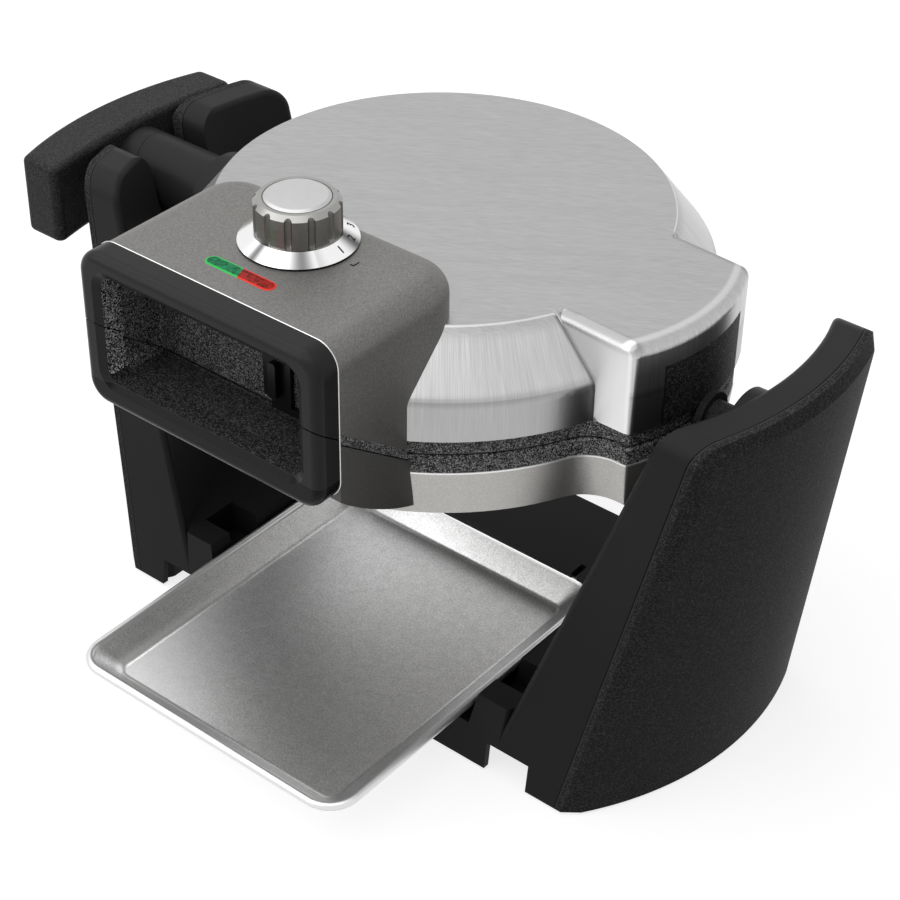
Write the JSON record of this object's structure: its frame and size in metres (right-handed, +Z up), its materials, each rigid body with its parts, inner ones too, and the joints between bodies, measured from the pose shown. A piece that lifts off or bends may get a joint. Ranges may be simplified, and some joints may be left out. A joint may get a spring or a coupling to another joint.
{
  "type": "flip waffle maker",
  "caption": "Round flip waffle maker: hinged cooking head with a front handle and dial, turned by a side grip between two towers over a drip tray.",
  "frame": {"origin": "on the table under the middle of the round cooking head", "axes": "+Z up, handle and tray front towards -Y, rotating grip towards -X"},
  "size_m": [0.3848, 0.2845, 0.2561],
  "materials": {
    "moulding_black": "smooth satin black moulding",
    "grain_black": "fine grained black moulding",
    "speckle_black": "textured black with fine sparkle",
    "gloss_black": "semi gloss black",
    "shell_bronze": "bronze grey metallic paint",
    "steel_brushed": "brushed stainless steel",
    "housing_satin": "satin grey metallic",
    "steel_plain": "plain turned steel",
    "plate_coated": "non-stick coated cast plate",
    "axle_black": "black finished steel",
    "chrome_bright": "polished",
    "aluminium_satin": "satin aluminium",
    "knob_grey": "satin grey brown",
    "lens_green": "translucent green",
    "lens_red": "translucent red",
    "rubber_black": "moulded rubber",
    "board_green": "circuit board laminate",
    "led_clear": "clear light pipe",
    "ceramic": "heat proof moulding"
  },
  "bodies": {
    "stand": {"stand_base": "moulding_black", "tower_frame_left": "moulding_black", "tower_frame_right": "moulding_black", "tower_cover_left": "moulding_black", "tower_cover_right": "moulding_black", "rubber_feet": "rubber_black", "cradle_liner": "grain_black", "axle_bush": "grain_black", "cord_gland": "rubber_black", "stand_screws": "steel_plain"},
    "head": {"lower_housing": "housing_satin", "lower_frame": "speckle_black", "lower_plate": "plate_coated", "lower_heater": "steel_plain", "lower_handle_shell": "shell_bronze", "lower_handle_liner": "speckle_black", "lower_bezel": "gloss_black", "lock_keeper": "steel_plain", "rotation_shaft": "moulding_black", "grip_bar": "grain_black", "right_axle": "axle_black", "lower_hinge_bracket": "steel_plain", "hinge_pin": "steel_plain"},
    "lid": {"lid_cover": "steel_brushed", "upper_frame": "speckle_black", "side_block": "speckle_black", "upper_plate": "plate_coated", "upper_heater": "steel_plain", "upper_hinge_bracket": "steel_plain", "upper_handle_shell": "shell_bronze", "upper_handle_liner": "speckle_black", "upper_bezel": "gloss_black", "thermostat": "ceramic", "control_board": "board_green", "indicator_leds": "led_clear", "green_lens": "lens_green", "red_lens": "lens_red"},
    "dial": {"dial_skirt": "chrome_bright", "dial_knob": "knob_grey", "dial_cap": "aluminium_satin", "dial_spindle": "steel_plain"},
    "lock": {"lock_slide": "gloss_black"},
    "tray": {"drip_tray": "aluminium_satin"}
  },
  "joints": [
    {"name": "head_rotation", "type": "hinge", "parent": "stand", "child": "head", "pos_m": [0, 0, 0.169], "axis": [1, 0, 0], "range_deg": [-180, 0]},
    {"name": "lid_hinge", "type": "hinge", "parent": "head", "child": "lid", "pos_m": [0, 0.12, 0.1685], "axis": [-1, 0, 0], "range_deg": [0, 100]},
    {"name": "dial_turn", "type": "hinge", "parent": "lid", "child": "dial", "pos_m": [0, -0.0875, 0.24], "axis": [0, 0, 1], "range_deg": [0, 270]},
    {"name": "lock_slide", "type": "slide", "parent": "lid", "child": "lock", "axis": [1, 0, 0], "range_m": [0, 0.008]},
    {"name": "tray_slide", "type": "slide", "parent": "stand", "child": "tray", "axis": [0, 1, 0], "range_m": [-0.1, 0.036]}
  ]
}
